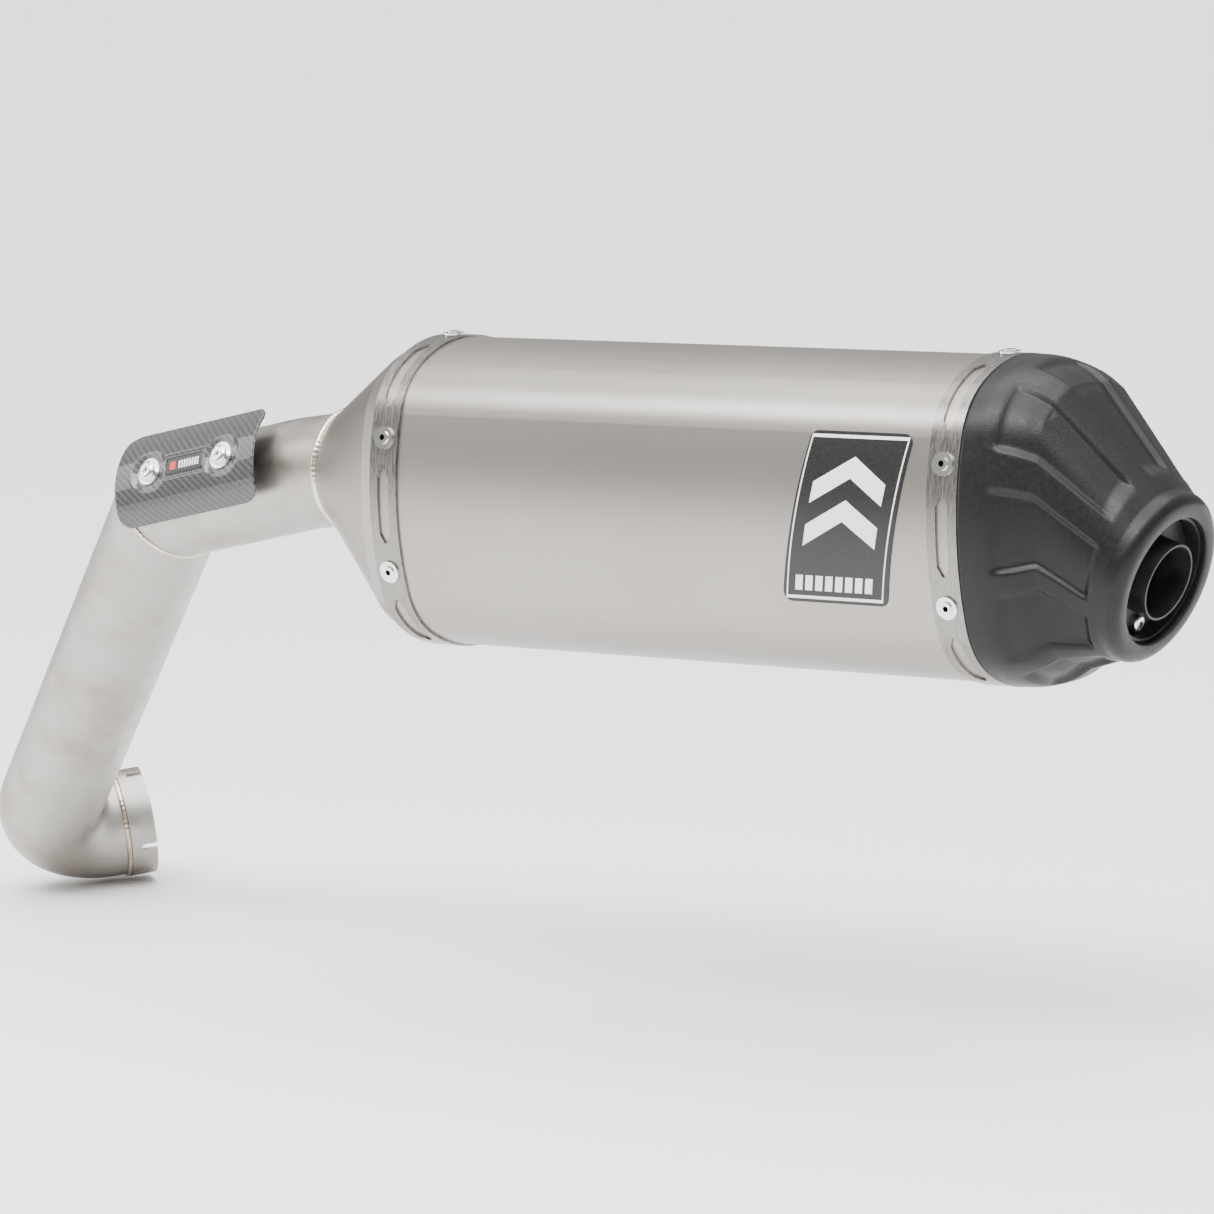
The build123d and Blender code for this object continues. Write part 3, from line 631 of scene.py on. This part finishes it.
# ---- weld beads with ripples -------------------------------------------------------------------
def build_bead(name, centre, along, across, normal, reach_along, reach_across, half, ripples, node):
    """A rippled bead round an ellipse about centre, with half-width half, in mm."""
    columns, sections = ripples * 6, 12
    points = []
    for j in range(columns):
        a = 2 * pi * j / columns
        path = along * (reach_along * cos(a)) + across * (reach_across * sin(a))
        out = path.normalized()
        swell = half * (1 + 0.12 * abs(sin(ripples * a / 2)))
        for k in range(sections):
            b = 2 * pi * k / sections
            shift = out * (swell * 0.8 * cos(b)) + normal * (swell * sin(b))
            points.append(centre + (path + shift) * MM)
    faces = grid_faces(columns, sections, close_rows=True, close_columns=True)
    bead = add_piece(name, points, faces, "muffler")
    recalculate(bead)
    paint(bead, MATERIALS["weld"])
    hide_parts(node)
    return bead


MITRE_NORMAL = (UPPER_DIR + LOWER_DIR).normalized()
FOLD = UPPER_DIR.cross(LOWER_DIR).normalized()
MITRE_LONG = MITRE_NORMAL.cross(FOLD).normalized()
MITRE_STRETCH = 1 / UPPER_DIR.dot(MITRE_NORMAL)
Y_AXIS, Z_AXIS, X_AXIS = Vector((0, 1, 0)), Vector((0, 0, 1)), Vector((1, 0, 0))
COLLAR_SIDE = COLLAR_DIR.cross(Z_AXIS).normalized()
COLLAR_UP = COLLAR_SIDE.cross(COLLAR_DIR).normalized()
build_bead("ring_weld_bead", RING - X_AXIS * 1.2 * MM, Y_AXIS, Z_AXIS, X_AXIS,
           26.6, 26.8, 1.6, 70, "ring_weld")
build_bead("elbow_weld_bead", ELBOW, MITRE_LONG, FOLD, MITRE_NORMAL,
           PIPE_RADIUS * MITRE_STRETCH, PIPE_RADIUS, 1.2, 70, "elbow_weld")
build_bead("collar_weld_bead", -COLLAR_DIR * 14.2 * MM, COLLAR_SIDE, COLLAR_UP, COLLAR_DIR,
           PIPE_RADIUS + 0.2, PIPE_RADIUS + 0.2, 1.3, 64, "collar_weld")


# ---- floor, lights and camera --------------------------------------------------------------------
def build_floor():
    """A wide pale floor just under the part."""
    level = CAD_BOX[0].z - 0.002
    size = 60.0
    corners = [(x * size, y * size, level) for x, y in ((-1, -1), (1, -1), (1, 1), (-1, 1))]
    mesh = bpy.data.meshes.new("floor")
    mesh.from_pydata(corners, [], [(0, 1, 2, 3)])
    floor = bpy.data.objects.new("floor", mesh)
    bpy.context.scene.collection.objects.link(floor)
    f = Finish("floor_paper", (0.90, 0.90, 0.90), 0.0, 0.9)
    f.bump(f.noise(200.0, 2), 0.0001, 0.2)
    paint(floor, f.material)


def build_world():
    """A pale studio, darker towards the horizon."""
    world = bpy.data.worlds.new("studio")
    world.use_nodes = True
    tree = world.node_tree
    background = tree.nodes["Background"]
    place = tree.nodes.new("ShaderNodeTexCoord")
    split = tree.nodes.new("ShaderNodeSeparateXYZ")
    ramp = tree.nodes.new("ShaderNodeValToRGB")
    tree.links.new(place.outputs["Generated"], split.inputs["Vector"])
    tree.links.new(split.outputs["Z"], ramp.inputs["Fac"])
    tree.links.new(ramp.outputs["Color"], background.inputs["Color"])
    stops = ramp.color_ramp.elements
    stops[0].position, stops[0].color = 0.0, (0.22, 0.21, 0.20, 1)
    stops[1].position, stops[1].color = 0.75, (0.95, 0.95, 0.95, 1)
    background.inputs["Strength"].default_value = 1.1
    bpy.context.scene.world = world


def add_area(name, place, target, size, power):
    """A soft box at place, turned to the target."""
    light = bpy.data.lights.new(name, "AREA")
    light.shape = "RECTANGLE"
    light.size, light.size_y = size
    light.energy = power
    lamp = bpy.data.objects.new(name, light)
    bpy.context.scene.collection.objects.link(lamp)
    lamp.location = place
    lamp.rotation_euler = (Vector(target) - Vector(place)).to_track_quat("-Z", "Y").to_euler()


def build_lights():
    """A wide overhead sun and two soft boxes."""
    sun = bpy.data.lights.new("overhead", "SUN")
    sun.energy = 5.0
    sun.angle = radians(70)
    lamp = bpy.data.objects.new("overhead", sun)
    bpy.context.scene.collection.objects.link(lamp)
    middle = (CAD_BOX[0] + CAD_BOX[1]) / 2
    add_area("top_softbox", middle + Vector((0.1, -0.9, 1.3)), middle, (2.4, 0.5), 40)
    add_area("left_softbox", middle + Vector((-1.8, -0.9, 0.6)), middle, (0.8, 1.6), 14)


def build_camera():
    """The three-quarter view, from the outlet's side."""
    azimuth, elevation, roll = radians(37.44), radians(7.80), radians(-2.05)
    back = Vector((sin(azimuth) * cos(elevation), -cos(azimuth) * cos(elevation), sin(elevation)))
    right = Vector((cos(azimuth), sin(azimuth), 0))
    up = back.cross(right)
    turned_right = right * cos(roll) + up * sin(roll)
    turned_up = up * cos(roll) - right * sin(roll)
    data = bpy.data.cameras.new("camera")
    data.lens = 172.25
    data.sensor_width = 36.0
    data.clip_start, data.clip_end = 0.05, 200.0
    camera = bpy.data.objects.new("camera", data)
    bpy.context.scene.collection.objects.link(camera)
    turn = Matrix((turned_right, turned_up, back)).transposed().to_4x4()
    camera.matrix_world = Matrix.Translation(DATUM + Vector((1.3348, -2.0381, 0.3023))) @ turn
    bpy.context.scene.camera = camera


build_floor()
build_world()
build_lights()
build_camera()
